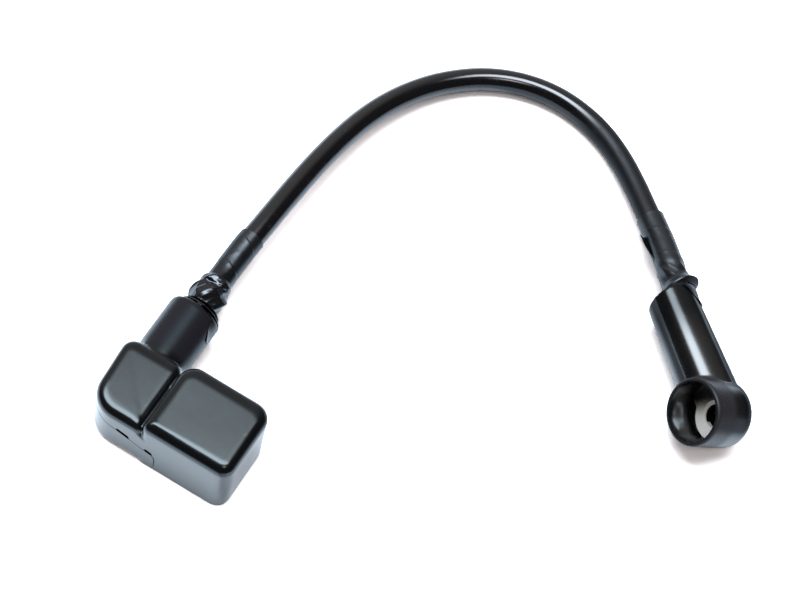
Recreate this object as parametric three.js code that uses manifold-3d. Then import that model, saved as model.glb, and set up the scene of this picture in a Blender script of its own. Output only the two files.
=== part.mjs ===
// Battery cable with a moulded battery terminal cover on one end and a moulded
// ring terminal boot on the other, lying in an arc on a table.
// Millimetres, +Z up, real size. The table is the plane Z = 0.
import * as THREE from 'three';
import { mergeVertices } from 'three/addons/utils/BufferGeometryUtils.js';
import Module from 'manifold-3d';

const wasm = await Module();
wasm.setup();

// Cable.
const CABLE_DIAMETER = 10.8;
const CONDUCTOR_DIAMETER = 8.0;
const CABLE_RADIUS = CABLE_DIAMETER / 2;
const CONDUCTOR_RADIUS = CONDUCTOR_DIAMETER / 2;

// Clearances shared by every seat.
const SEAT_GAP = 0.3;
const SLIDE_GAP = 0.45;

// Battery terminal cover: the tall box over the battery post. Its middle is X = 0, Y = 0.
const COVER_WALL = 2.2;
const TALL_WIDTH = 42.2;
const TALL_FRONT = 17.7;
const TALL_BACK = 19.6;
const TALL_HEIGHT = 33;
const TALL_EDGE = 4.8;
const TALL_BACK_EDGE = 6.6;

// Battery terminal cover: the lower elbow box with the wide rounded corner.
const ELBOW_LENGTH = 28.2;
const ELBOW_LEAN = 2.2;
const ELBOW_FRONT = 16.7;
const ELBOW_BACK = 18.4;
const ELBOW_HEIGHT = 27.5;
const ELBOW_EDGE = 4.2;
const ELBOW_BACK_EDGE = 6.0;
const ELBOW_CORNER = 12;

// Round cable sleeve moulded on the back of the elbow box.
const SLEEVE_RADIUS = 12;
const SLEEVE_LENGTH = 31;
const SLEEVE_HEIGHT = 14;
const SLEEVE_SHOULDER = 2.6;

// Lower shell of the elbow, with its sloping seam and two catch slots.
const SEAM_GAP = 0.5;
const SEAM_LOW = 10.6;
const SEAM_SLOPE = 0.24;
const SHELL_RIGHT = -12.9;
const SLOT_HEIGHT = 1.3;

// Battery post clamp.
const POST_TOP_RADIUS = 8.75;
const POST_TAPER = 0.75;
const CLAMP_WALL = 3.2;
const CLAMP_HEIGHT = 14;
const CLAMP_LIFT = 4.5;
const CLAMP_SLIT = 3;
const EAR_MARGIN = 4.6;
const EAR_THICKNESS = 5.5;
const BOLT_RADIUS = 3;
const BOLT_HOLE_GAP = 0.3;
const HEX_FLATS = 10;
const BARREL_RADIUS = 6.25;
const BARREL_GAP = 0.45;
const BARREL_LENGTH = 28;

// Ring terminal boot: collar with a domed back, and tapered sleeve.
const COLLAR_RADIUS = 15;
const COLLAR_WALL = 1.9;
const COLLAR_MOUTH = 17.8;
const COLLAR_BACK = 2.2;
const DOME_DEPTH = 9.6;
const BOOT_SLEEVE_LENGTH = 58;
const BOOT_SLEEVE_MOUTH_RADIUS = 11.1;
const BOOT_SLEEVE_ROOT_RADIUS = 12.9;
const BOOT_WALL = 1.7;
const BOOT_SLANT = 2.4;
const BOOT_X = 178.3;
const BOOT_Y = 135.2;
const BOOT_HEADING = -42;
const MOUTH_TILT = 59.3;

// Ring terminal inside the boot.
const LUG_PALM_RADIUS = 11;
const LUG_HOLE_RADIUS = 5.25;
const LUG_THICKNESS = 2.6;
const LUG_FRONT = 3;
const LUG_SHIFT = 1.5;
const LUG_BARREL_RADIUS = 6.2;
const LUG_BARREL_START = 14.5;
const LUG_BARREL_END = 35;

// Tape.
const TAPE_BUILD = 0.7;
const TAPE_LEFT_LENGTH = 45;
const TAPE_RIGHT_LENGTH = 46;
const TAPE_FLARE = 3.3;

// Positions that follow from the sizes above.
const tallLeft = -TALL_WIDTH / 2;
const tallRight = TALL_WIDTH / 2;
const elbowLeft = tallLeft - ELBOW_LENGTH;
const sleeveX = elbowLeft + SLEEVE_RADIUS + 3.2;
const sleeveMouthY = ELBOW_BACK + SLEEVE_LENGTH;
const clampX = -4.2;
const clampOuter = POST_TOP_RADIUS + POST_TAPER + CLAMP_WALL;
const clampTop = CLAMP_LIFT + CLAMP_HEIGHT;
const boltHeight = CLAMP_LIFT + CLAMP_HEIGHT / 2;
const earOuter = CLAMP_SLIT / 2 + EAR_THICKNESS;
const washerRadius = HEX_FLATS / 2 + 0.5;
const ringAtEar = Math.sqrt(clampOuter * clampOuter - earOuter * earOuter);
const boltX = clampX + ringAtEar + SEAT_GAP + washerRadius;
const barrelBack = -1 + BARREL_LENGTH;

// Solids from rings of points. Each ring has the same count of points.
function solidFrom(points, faces) {
  const geometry = new THREE.BufferGeometry();
  const flat = points.flatMap((p) => [p.x, p.y, p.z]);
  geometry.setAttribute('position', new THREE.Float32BufferAttribute(flat, 3));
  let volume = 0;
  const cross = new THREE.Vector3();
  for (const [a, b, c] of faces) {
    volume += points[a].dot(cross.crossVectors(points[b], points[c]));
  }
  const order = volume > 0 ? faces : faces.map(([a, b, c]) => [a, c, b]);
  geometry.setIndex(order.flat());
  return geometry;
}

function band(faces, first, second, count) {
  for (let i = 0; i < count; i += 1) {
    const j = (i + 1) % count;
    faces.push([first + i, first + j, second + j]);
    faces.push([first + i, second + j, second + i]);
  }
}

// Rings stacked one after another, with a flat cap on both ends.
function cappedRings(rings) {
  const count = rings[0].length;
  const points = rings.flat();
  const faces = [];
  for (let k = 0; k + 1 < rings.length; k += 1) {
    band(faces, k * count, (k + 1) * count, count);
  }
  const ends = [[0, true], [rings.length - 1, false]];
  for (const [k, start] of ends) {
    const middle = new THREE.Vector3();
    rings[k].forEach((p) => middle.addScaledVector(p, 1 / count));
    const centre = points.length;
    points.push(middle);
    for (let i = 0; i < count; i += 1) {
      const j = (i + 1) % count;
      const a = k * count + i;
      const b = k * count + j;
      faces.push(start ? [centre, b, a] : [centre, a, b]);
    }
  }
  return solidFrom(points, faces);
}

// Rings joined in a closed loop, as for a tube with an inside and an outside.
function loopedRings(rings) {
  const count = rings[0].length;
  const faces = [];
  for (let k = 0; k < rings.length; k += 1) {
    band(faces, k * count, ((k + 1) % rings.length) * count, count);
  }
  return solidFrom(rings.flat(), faces);
}

// A turned solid about the Z axis. The profile starts and ends on the axis.
function turned(profile, segments) {
  const points = [];
  const faces = [];
  const inner = profile.slice(1, -1);
  points.push(new THREE.Vector3(0, 0, profile[0][1]));
  for (const [radius, z] of inner) {
    for (let i = 0; i < segments; i += 1) {
      const angle = (2 * Math.PI * i) / segments;
      points.push(new THREE.Vector3(radius * Math.cos(angle), radius * Math.sin(angle), z));
    }
  }
  points.push(new THREE.Vector3(0, 0, profile[profile.length - 1][1]));
  for (let k = 0; k + 1 < inner.length; k += 1) {
    band(faces, 1 + k * segments, 1 + (k + 1) * segments, segments);
  }
  const last = points.length - 1;
  for (let i = 0; i < segments; i += 1) {
    const j = (i + 1) % segments;
    faces.push([0, 1 + j, 1 + i]);
    faces.push([last, last - segments + i, last - segments + j]);
  }
  return solidFrom(points, faces);
}

function cylinder(radius, start, end, segments) {
  return turned([[0, start], [radius, start], [radius, end], [0, end]], segments);
}

// A hexagon bar about the Z axis with one flat facing +X.
function hexagon(flats, start, end) {
  const bar = cylinder(flats / Math.sqrt(3), start, end, 6);
  bar.rotateZ(Math.PI / 6);
  return bar;
}

// A closed outline with a rounded corner at each given point, counter-clockwise.
function roundedOutline(corners, steps) {
  const outline = [];
  const count = corners.length;
  for (let i = 0; i < count; i += 1) {
    const [x, y, wanted] = corners[i];
    const here = new THREE.Vector2(x, y);
    const before = corners[(i + count - 1) % count];
    const after = corners[(i + 1) % count];
    const back = new THREE.Vector2(before[0] - x, before[1] - y).normalize();
    const ahead = new THREE.Vector2(after[0] - x, after[1] - y).normalize();
    const half = Math.acos(THREE.MathUtils.clamp(back.dot(ahead), -1, 1)) / 2;
    const radius = Math.max(wanted, 0.05);
    const toCentre = back.clone().add(ahead).normalize();
    const centre = here.clone().addScaledVector(toCentre, radius / Math.sin(half));
    const sweep = Math.PI - 2 * half;
    const middle = Math.atan2(-toCentre.y, -toCentre.x);
    for (let k = 0; k <= steps; k += 1) {
      const angle = middle - sweep / 2 + (sweep * k) / steps;
      const px = centre.x + radius * Math.cos(angle);
      const py = centre.y + radius * Math.sin(angle);
      outline.push(new THREE.Vector2(px, py));
    }
  }
  return outline;
}

function ringAt(outline, z) {
  return outline.map((p) => new THREE.Vector3(p.x, p.y, z));
}

function block(x0, x1, y0, y1, z0, z1, corner) {
  const corners = [[x1, y1, corner], [x0, y1, corner], [x0, y0, corner], [x1, y0, corner]];
  const outline = roundedOutline(corners, 3);
  return cappedRings([ringAt(outline, z0), ringAt(outline, z1)]);
}

// Booleans.
function toManifold(geometry) {
  const bare = geometry.clone();
  bare.deleteAttribute('normal');
  bare.deleteAttribute('uv');
  const merged = mergeVertices(bare, 1e-4);
  const mesh = new wasm.Mesh({
    numProp: 3,
    vertProperties: new Float32Array(merged.attributes.position.array),
    triVerts: new Uint32Array(merged.index.array),
  });
  return new wasm.Manifold(mesh);
}

function toGeometry(manifold) {
  const mesh = manifold.getMesh();
  const geometry = new THREE.BufferGeometry();
  const flat = new Float32Array(mesh.vertProperties);
  geometry.setAttribute('position', new THREE.BufferAttribute(flat, 3));
  geometry.setIndex(Array.from(mesh.triVerts));
  return geometry;
}

function joined(geometries) {
  const solids = geometries.map(toManifold);
  return solids.reduce((sum, solid) => sum.add(solid));
}

const group = new THREE.Group();
group.name = 'battery_cable';

function addMesh(name, geometry, colour, roughness, metalness) {
  const plain = geometry.index ? geometry.toNonIndexed() : geometry;
  plain.computeVertexNormals();
  const material = new THREE.MeshStandardMaterial({ color: colour, roughness, metalness });
  material.name = name;
  const mesh = new THREE.Mesh(plain, material);
  mesh.name = name;
  group.add(mesh);
  return mesh;
}

// A box with a rounded top edge. Each side has its own width of edge; with an inset the
// same shape is given smaller by the wall, for the hollow inside.
function tallSection(inset, turn) {
  const round = 1 - Math.cos(turn);
  const side = inset + TALL_EDGE * round;
  const back = inset + TALL_BACK_EDGE * round;
  const left = tallLeft + side;
  const right = tallRight - side;
  const near = -TALL_FRONT + side;
  const far = TALL_BACK - back;
  const front = Math.max(6 - side, 1.2);
  const rear = Math.max(8 - side, 1.6);
  return roundedOutline([[right, far, rear], [left, far, rear], [left, near, front],
    [right, near, front]], 6);
}

function tallBox(inset, floor, steps) {
  const roof = TALL_HEIGHT - inset;
  const drop = TALL_EDGE;
  const rings = [ringAt(tallSection(inset, 0), floor)];
  for (let k = 0; k <= steps; k += 1) {
    const turn = (k * Math.PI) / 2 / steps;
    rings.push(ringAt(tallSection(inset, turn), roof - drop + drop * Math.sin(turn)));
  }
  return cappedRings(rings);
}

function elbowSection(inset, turn, right, corner) {
  const round = 1 - Math.cos(turn);
  const side = inset + ELBOW_EDGE * round;
  const back = inset + ELBOW_BACK_EDGE * round;
  const left = elbowLeft + side;
  const near = -ELBOW_FRONT + side;
  const far = ELBOW_BACK - back;
  const end = right - ELBOW_EDGE * round;
  return roundedOutline([[end, far, Math.max(corner - ELBOW_EDGE * round, 0.8)],
    [left, far, Math.max(6.5 - side, 1.4)],
    [left + ELBOW_LEAN, near, ELBOW_CORNER - side],
    [end, near, Math.max(corner - ELBOW_EDGE * round, 0.8)]], 6);
}

// Outside of the elbow box: its right end is buried in the tall box low down and rounds
// off above the groove line, so the two boxes are flush below and parted above.
function elbowOutside() {
  const buried = tallLeft + 5;
  const groove = ELBOW_HEIGHT * 0.62;
  const rounding = 3;
  const rings = [];
  for (let k = 0; k <= 3; k += 1) {
    const turn = (k * Math.PI) / 2 / 3;
    const inset = rounding * (1 - Math.sin(turn));
    rings.push(ringAt(elbowSection(inset, 0, buried, 1.2), rounding * (1 - Math.cos(turn))));
  }
  rings.push(ringAt(elbowSection(0, 0, buried, 1.2), groove));
  const start = ELBOW_HEIGHT - ELBOW_EDGE;
  rings.push(ringAt(elbowSection(0, 0, tallLeft + 1.8, 3.2), (groove + start) / 2));
  for (let k = 0; k <= 5; k += 1) {
    const turn = (k * Math.PI) / 2 / 5;
    const z = start + ELBOW_EDGE * Math.sin(turn);
    rings.push(ringAt(elbowSection(0, turn, tallLeft - 0.2, 4.6), z));
  }
  return cappedRings(rings);
}

function elbowInside() {
  const right = tallLeft + COVER_WALL + 4;
  const rings = [ringAt(elbowSection(COVER_WALL, 0, right, 1), COVER_WALL)];
  const start = ELBOW_HEIGHT - COVER_WALL - ELBOW_EDGE;
  for (let k = 0; k <= 3; k += 1) {
    const turn = (k * Math.PI) / 2 / 3;
    const z = start + ELBOW_EDGE * Math.sin(turn);
    rings.push(ringAt(elbowSection(COVER_WALL, turn, right, 1), z));
  }
  return cappedRings(rings);
}

// The sleeve runs along +Y. The profile is written along its axis.
function alongY(geometry) {
  geometry.rotateX(-Math.PI / 2);
  geometry.translate(sleeveX, 0, SLEEVE_HEIGHT);
  return geometry;
}

function sleeveOutside() {
  const profile = [[0, ELBOW_BACK - 6], [SLEEVE_RADIUS, ELBOW_BACK - 6]];
  for (let k = 0; k <= 4; k += 1) {
    const turn = (k * Math.PI) / 2 / 4;
    const radius = SLEEVE_RADIUS - SLEEVE_SHOULDER * (1 - Math.cos(turn));
    profile.push([radius, sleeveMouthY - SLEEVE_SHOULDER * (1 - Math.sin(turn))]);
  }
  profile.push([0, sleeveMouthY]);
  return alongY(turned(profile, 30));
}

function sleeveInside() {
  const bore = SLEEVE_RADIUS - COVER_WALL;
  const grip = BARREL_RADIUS + SEAT_GAP;
  const profile = [[0, ELBOW_BACK - 8], [bore - 2, ELBOW_BACK - 8],
    [bore - 2, ELBOW_BACK + 1], [grip, ELBOW_BACK + 3], [grip, ELBOW_BACK + 7],
    [bore - 1.6, ELBOW_BACK + 9], [bore - 1.6, sleeveMouthY + 1], [0, sleeveMouthY + 1]];
  return alongY(turned(profile, 24));
}

// Region of the lower shell, seen from the front and run through from the front to
// just short of the back wall. Growing it gives the seam all round.
function shellRegion(grow, slots) {
  const seam = (x) => SEAM_LOW + (SHELL_RIGHT - x) * SEAM_SLOPE;
  const right = SHELL_RIGHT + grow;
  const far = elbowLeft - 6;
  const shape = new THREE.Shape();
  shape.moveTo(far, -2);
  shape.lineTo(right, -2);
  shape.lineTo(right, seam(right) - 2 + grow);
  shape.lineTo(right - 0.5, seam(right) - 0.8 + grow);
  shape.lineTo(right - 1.6, seam(right - 1.6) + grow);
  if (slots) {
    for (const [a, b] of [[-13.9, -18], [-25.4, -32]]) {
      shape.lineTo(a, seam(a) + grow);
      shape.lineTo(a - 0.5, seam(a - 0.5) + grow + SLOT_HEIGHT);
      shape.lineTo(b + 0.5, seam(b + 0.5) + grow + SLOT_HEIGHT);
      shape.lineTo(b, seam(b) + grow);
    }
  }
  shape.lineTo(far, seam(far) + grow);
  shape.closePath();
  const front = TALL_FRONT + 6;
  const depth = front + ELBOW_BACK - ELBOW_BACK_EDGE + grow;
  const geometry = new THREE.ExtrudeGeometry(shape, { depth, bevelEnabled: false });
  geometry.rotateX(Math.PI / 2);
  geometry.translate(0, depth - front, 0);
  return geometry;
}

const outside = joined([tallBox(0, 0, 6), elbowOutside(), sleeveOutside()]);
const inside = joined([tallBox(COVER_WALL, -1, 4), elbowInside(), sleeveInside()]);
const hollow = outside.subtract(inside);
const cover = hollow.subtract(toManifold(shellRegion(SEAM_GAP, true)));
const shell = hollow.intersect(toManifold(shellRegion(0, false)));

addMesh('terminal_cover', toGeometry(cover), 0x2b3036, 0.5, 0);
addMesh('cover_lower_shell', toGeometry(shell), 0x2a2e34, 0.5, 0);

// Post clamp: taper ring, slit, ears, arm and crimp barrel.
function alongYAt(geometry, x, z) {
  geometry.rotateX(-Math.PI / 2);
  geometry.translate(x, 0, z);
  return geometry;
}

const clampRing = cylinder(clampOuter, CLAMP_LIFT, clampTop, 36);
clampRing.translate(clampX, 0, 0);
const postTaper = turned([[0, CLAMP_LIFT - 1], [POST_TOP_RADIUS + POST_TAPER, CLAMP_LIFT - 1],
  [POST_TOP_RADIUS, clampTop + 1], [0, clampTop + 1]], 36);
postTaper.translate(clampX, 0, 0);
const earStart = clampX + clampOuter - 3;
const earEnd = boltX + EAR_MARGIN;
const ears = block(earStart, earEnd, -earOuter, earOuter, CLAMP_LIFT + 1, clampTop - 1, 1.4);
const slit = block(clampX + 4, earEnd + 2, -CLAMP_SLIT / 2, CLAMP_SLIT / 2, CLAMP_LIFT - 1,
  clampTop + 1, 0.3);
const boltHole = alongYAt(cylinder(BOLT_RADIUS + BOLT_HOLE_GAP, -20, 20, 16), boltX, boltHeight);
const armLow = SLEEVE_HEIGHT - 4;
const armHigh = Math.min(SLEEVE_HEIGHT + 3, clampTop - 0.8);
const arm = block(sleeveX + 1, clampX - POST_TOP_RADIUS - POST_TAPER - 1, -3, 6, armLow, armHigh,
  1.2);
const barrel = alongY(turned([[0, -5], [BARREL_RADIUS - 1.5, -5], [BARREL_RADIUS, -3.5],
  [BARREL_RADIUS, 10], [BARREL_RADIUS - 0.9, 12], [BARREL_RADIUS - 0.9, 19],
  [BARREL_RADIUS, 21], [BARREL_RADIUS, barrelBack], [0, barrelBack]], 24));
const conductorBore = CONDUCTOR_RADIUS + BARREL_GAP;
const barrelBore = alongY(cylinder(conductorBore, 8, barrelBack + 1, 20));
const clamp = joined([clampRing, ears, arm, barrel])
  .subtract(toManifold(postTaper))
  .subtract(toManifold(slit))
  .subtract(toManifold(boltHole))
  .subtract(toManifold(barrelBore));
addMesh('post_clamp', toGeometry(clamp), 0xb9b6a8, 0.42, 0.9);

// Clamp bolt with its washer and nut, lying along Y through the two ears.
const washerThickness = 1.2;
const headHeight = 4;
const nutHeight = 5;
const washerNear = -earOuter - SEAT_GAP;
const washerFar = washerNear - washerThickness;
const headNear = washerFar - SEAT_GAP;
const nutNear = earOuter + SEAT_GAP;
const shankEnd = nutNear + nutHeight + 1.5;
const head = alongYAt(hexagon(HEX_FLATS, headNear - headHeight, headNear), boltX, boltHeight);
const shank = alongYAt(cylinder(BOLT_RADIUS, headNear - 1, shankEnd, 16), boltX, boltHeight);
addMesh('clamp_bolt', toGeometry(joined([head, shank])), 0xa9acaf, 0.35, 0.95);

function threadedOn(body, start, end) {
  alongYAt(body, boltX, boltHeight);
  const hole = alongYAt(cylinder(BOLT_RADIUS + SEAT_GAP, start - 1, end + 1, 16), boltX,
    boltHeight);
  return toGeometry(toManifold(body).subtract(toManifold(hole)));
}
const washerDisc = cylinder(washerRadius, washerFar, washerNear, 20);
addMesh('clamp_washer', threadedOn(washerDisc, washerFar, washerNear), 0xa9acaf, 0.4, 0.95);
const nutBar = hexagon(HEX_FLATS, nutNear, nutNear + nutHeight);
addMesh('clamp_nut', threadedOn(nutBar, nutNear, nutNear + nutHeight), 0xa9acaf, 0.35, 0.95);

// Frame of the ring terminal boot: along = from its sleeve to its collar, mouth = out of
// the collar. The collar lies on the table on its domed back and lower rim.
const heading = THREE.MathUtils.degToRad(BOOT_HEADING);
const tilt = THREE.MathUtils.degToRad(MOUTH_TILT);
const along = new THREE.Vector3(Math.cos(heading), Math.sin(heading), 0);
const across = new THREE.Vector3(-Math.sin(heading), Math.cos(heading), 0);
const mouth = across.clone().multiplyScalar(-Math.sin(tilt));
mouth.z = Math.cos(tilt);
const beside = new THREE.Vector3().crossVectors(mouth, along);
const domeLow = Math.hypot(COLLAR_RADIUS * Math.sin(tilt), DOME_DEPTH * Math.cos(tilt));
const bootHeight = domeLow + COLLAR_BACK * Math.cos(tilt) + 0.02;
const bootOrigin = new THREE.Vector3(BOOT_X, BOOT_Y, bootHeight);
const bootFrame = new THREE.Matrix4().makeBasis(along, beside, mouth).setPosition(bootOrigin);

// Collar of the boot: open mouth, ledge behind the palm and a pocket in the dome.
const ledge = LUG_FRONT - LUG_THICKNESS - SEAT_GAP;
const collarBore = COLLAR_RADIUS - COLLAR_WALL;
const pocketRadius = LUG_PALM_RADIUS - 2.2;
const neckStart = -LUG_BARREL_START;

function collarOutside() {
  const profile = [[0, -COLLAR_BACK - DOME_DEPTH]];
  for (let k = 1; k <= 6; k += 1) {
    const turn = (k * Math.PI) / 2 / 6;
    const z = -COLLAR_BACK - DOME_DEPTH * Math.cos(turn);
    profile.push([COLLAR_RADIUS * Math.sin(turn), z]);
  }
  profile.push([COLLAR_RADIUS, COLLAR_MOUTH - 0.5]);
  profile.push([COLLAR_RADIUS - 0.5, COLLAR_MOUTH]);
  profile.push([0, COLLAR_MOUTH]);
  return turned(profile, 36);
}

function collarInside() {
  const depth = DOME_DEPTH - COLLAR_WALL;
  const profile = [[0, -COLLAR_BACK - depth]];
  for (let k = 1; k <= 3; k += 1) {
    const turn = (k * Math.PI) / 2 / 3;
    profile.push([pocketRadius * Math.sin(turn), -COLLAR_BACK - depth * Math.cos(turn)]);
  }
  profile.push([pocketRadius, ledge]);
  profile.push([collarBore, ledge]);
  profile.push([collarBore, COLLAR_MOUTH + 1]);
  profile.push([0, COLLAR_MOUTH + 1]);
  return turned(profile, 36);
}

// Tapered sleeve of the boot, with a slightly oblique mouth.
function bootSleeveRing(x, radius, slant, count) {
  const ring = [];
  for (let i = 0; i < count; i += 1) {
    const angle = (2 * Math.PI * i) / count;
    const y = radius * Math.cos(angle);
    const z = radius * Math.sin(angle);
    ring.push(new THREE.Vector3(x - slant * Math.cos(angle), y, z));
  }
  return ring;
}

function bootTaper(x) {
  const share = (x + BOOT_SLEEVE_LENGTH) / BOOT_SLEEVE_LENGTH;
  return THREE.MathUtils.lerp(BOOT_SLEEVE_MOUTH_RADIUS, BOOT_SLEEVE_ROOT_RADIUS, share);
}

function bootSleeveOutside() {
  const start = -BOOT_SLEEVE_LENGTH;
  const rings = [
    bootSleeveRing(start, bootTaper(start) - 0.6, BOOT_SLANT, 30),
    bootSleeveRing(start + 0.6, bootTaper(start), BOOT_SLANT, 30),
    bootSleeveRing(start / 2, bootTaper(start / 2), 0, 30),
    bootSleeveRing(-2, bootTaper(-2), 0, 30),
    bootSleeveRing(3, bootTaper(0) - 1.6, 0, 30),
  ];
  return cappedRings(rings);
}

function bootSleeveInside() {
  const start = -BOOT_SLEEVE_LENGTH;
  const bore = (x) => bootTaper(x) - BOOT_WALL;
  const grip = LUG_BARREL_RADIUS + SEAT_GAP;
  const rings = [
    bootSleeveRing(start - 3.5, bore(start), BOOT_SLANT, 24),
    bootSleeveRing(-LUG_BARREL_END - 1, bore(-LUG_BARREL_END), 0, 24),
    bootSleeveRing(-LUG_BARREL_END + 2, grip, 0, 24),
    bootSleeveRing(-LUG_BARREL_END + 7, grip, 0, 24),
    bootSleeveRing(-LUG_BARREL_END + 10, bore(-24), 0, 24),
    bootSleeveRing(neckStart + 7, bore(-11) - 1, 0, 24),
  ];
  return cappedRings(rings);
}

const boot = joined([collarOutside(), bootSleeveOutside()])
  .subtract(joined([collarInside(), bootSleeveInside()]));
const bootGeometry = toGeometry(boot);
bootGeometry.applyMatrix4(bootFrame);
addMesh('ring_boot', bootGeometry, 0x16181b, 0.25, 0);

// Ring terminal: round palm, neck pressed flat, and crimp barrel.
const palmMiddle = LUG_FRONT - LUG_THICKNESS / 2;
const palm = cylinder(LUG_PALM_RADIUS, LUG_FRONT - LUG_THICKNESS, LUG_FRONT, 36);
palm.translate(LUG_SHIFT, 0, 0);
const hole = cylinder(LUG_HOLE_RADIUS, LUG_FRONT - LUG_THICKNESS - 1, LUG_FRONT + 1, 28);
hole.translate(LUG_SHIFT, 0, 0);

function neckRing(x, share) {
  const ring = [];
  const flat = 1 - share;
  const wide = THREE.MathUtils.lerp(LUG_BARREL_RADIUS, LUG_PALM_RADIUS - 3.4, flat);
  const thick = THREE.MathUtils.lerp(LUG_BARREL_RADIUS, LUG_THICKNESS / 2, flat);
  const power = THREE.MathUtils.lerp(1, 0.35, flat);
  for (let i = 0; i < 24; i += 1) {
    const angle = (2 * Math.PI * i) / 24;
    const cos = Math.cos(angle);
    const sin = Math.sin(angle);
    const y = wide * Math.sign(cos) * Math.pow(Math.abs(cos), power);
    const z = thick * Math.sign(sin) * Math.pow(Math.abs(sin), power);
    ring.push(new THREE.Vector3(x, y, z + palmMiddle * flat));
  }
  return ring;
}

const neckEnd = -LUG_PALM_RADIUS + 4.5;
const lugRings = [
  neckRing(-LUG_BARREL_END, 1),
  neckRing(neckStart - 2, 1),
  neckRing(neckStart, 0.93),
  neckRing(neckStart + 2, 0.62),
  neckRing(neckStart + 4, 0.22),
  neckRing(neckStart + 6, 0),
  neckRing(neckEnd, 0),
];
const lugBore = cylinder(CONDUCTOR_RADIUS + BARREL_GAP, -LUG_BARREL_END - 1, neckStart - 3, 20);
const lugBoreTurned = lugBore.clone();
lugBoreTurned.rotateY(Math.PI / 2);
const lug = joined([palm, cappedRings(lugRings)])
  .subtract(toManifold(hole))
  .subtract(toManifold(lugBoreTurned));
const lugGeometry = toGeometry(lug);
lugGeometry.applyMatrix4(bootFrame);
addMesh('ring_lug', lugGeometry, 0xc9c6bd, 0.32, 0.95);

// Cable route. The free points are [X, Y, height of the cable's underside].
const jacketStart = new THREE.Vector3(sleeveX, barrelBack + SEAT_GAP + 1.2, SLEEVE_HEIGHT);
const lugEnd = -LUG_BARREL_END - SEAT_GAP - 1.2;
const freeRoute = [
  [-34.1, 73.4, 8.8],
  [-33.8, 86.5, 9.3],
  [-32.9, 99.6, 9.7],
  [-32.1, 114.2, 9.8],
  [-31.2, 129.7, 9.4],
  [-30.0, 145.3, 8.5],
  [-28.2, 160.9, 7.2],
  [-25.6, 176.0, 5.5],
  [-21.6, 190.4, 3.9],
  [-16.2, 203.3, 2.5],
  [-9.6, 214.6, 1.4],
  [-1.6, 224.4, 0.7],
  [7.6, 232.6, 0.4],
  [18.3, 239.0, 0.2],
  [30.2, 243.1, 0.15],
  [43.3, 244.6, 0.15],
  [56.9, 243.0, 0.2],
  [70.6, 238.3, 0.5],
  [83.2, 230.8, 1.2],
  [94.9, 221.3, 2.5],
  [105.5, 211.3, 4.3],
  [114.9, 202.3, 6.2],
  [122.3, 194.6, 7.9],
];
function inBoot(distance, offset) {
  const point = bootOrigin.clone().addScaledVector(along, -distance);
  return point.addScaledVector(across, offset);
}
const route = [jacketStart, new THREE.Vector3(sleeveX, sleeveMouthY - 8, SLEEVE_HEIGHT),
  new THREE.Vector3(sleeveX, sleeveMouthY + 8, SLEEVE_HEIGHT + 0.1)];
freeRoute.forEach(([x, y, under]) => {
  route.push(new THREE.Vector3(x, y, under + CABLE_RADIUS));
});
route.push(inBoot(BOOT_SLEEVE_LENGTH + 11, 5.2));
route.push(inBoot(BOOT_SLEEVE_LENGTH, 3.1));
route.push(inBoot(BOOT_SLEEVE_LENGTH - 12, 1.0));
route.push(inBoot(-lugEnd + 4, 0.05));
route.push(inBoot(-lugEnd, 0));
const cablePath = new THREE.CatmullRomCurve3(route, false, 'centripetal');
cablePath.arcLengthDivisions = 600;
const cableLength = cablePath.getLength();

function circleShape(radius, count) {
  const points = [];
  for (let i = 0; i < count; i += 1) {
    const angle = (2 * Math.PI * i) / count;
    points.push(new THREE.Vector2(radius * Math.cos(angle), radius * Math.sin(angle)));
  }
  return new THREE.Shape(points);
}

const jacket = new THREE.ExtrudeGeometry(circleShape(CABLE_RADIUS, 12), {
  steps: 64,
  extrudePath: cablePath,
  bevelEnabled: false,
});
addMesh('cable_jacket', jacket, 0x121316, 0.3, 0);

// Bare conductor ends, from the jacket's faces into the two crimp barrels.
const stubLeft = alongY(cylinder(CONDUCTOR_RADIUS, 9, jacketStart.y - SEAT_GAP, 16));
addMesh('conductor_post_end', stubLeft, 0xb87440, 0.4, 0.9);
const stubRight = cylinder(CONDUCTOR_RADIUS, lugEnd + SEAT_GAP, neckStart - 4.5, 16);
stubRight.rotateY(Math.PI / 2);
stubRight.applyMatrix4(bootFrame);
addMesh('conductor_ring_end', stubRight, 0xb87440, 0.4, 0.9);

// Tape wound round the cable, beginning against a sleeve mouth. The first rings lie in
// the plane of that mouth and the later ones square to the cable.
function crossing(facing, low, high) {
  const beyond = (distance) => {
    const point = cablePath.getPointAt(distance / cableLength);
    return point.sub(facing.point).dot(facing.normal) - SEAT_GAP;
  };
  const rising = beyond(high) > beyond(low);
  for (let k = 0; k < 40; k += 1) {
    const middle = (low + high) / 2;
    if (beyond(middle) > 0 === rising) {
      high = middle;
    } else {
      low = middle;
    }
  }
  return (low + high) / 2;
}

function tapeFrame(distance, facing, away) {
  const u = THREE.MathUtils.clamp(distance / cableLength, 0, 1);
  const centre = cablePath.getPointAt(u);
  const forward = cablePath.getTangentAt(u);
  const sense = Math.sign(forward.dot(facing.normal));
  const share = Math.exp(-Math.pow(away / 7, 2));
  forward.multiplyScalar(sense).lerp(facing.normal, share).normalize();
  forward.multiplyScalar(sense);
  const side = new THREE.Vector3().crossVectors(forward, new THREE.Vector3(0, 0, 1)).normalize();
  const up = new THREE.Vector3().crossVectors(side, forward);
  return { centre, side, up };
}

function tapeRing(frame, radiusAt, count) {
  const { centre, side, up } = frame;
  const ring = [];
  for (let i = 0; i < count; i += 1) {
    const angle = (2 * Math.PI * i) / count;
    const radius = radiusAt(angle);
    const point = centre.clone().addScaledVector(side, radius * Math.cos(angle));
    ring.push(point.addScaledVector(up, radius * Math.sin(angle)));
  }
  return ring;
}

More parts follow.
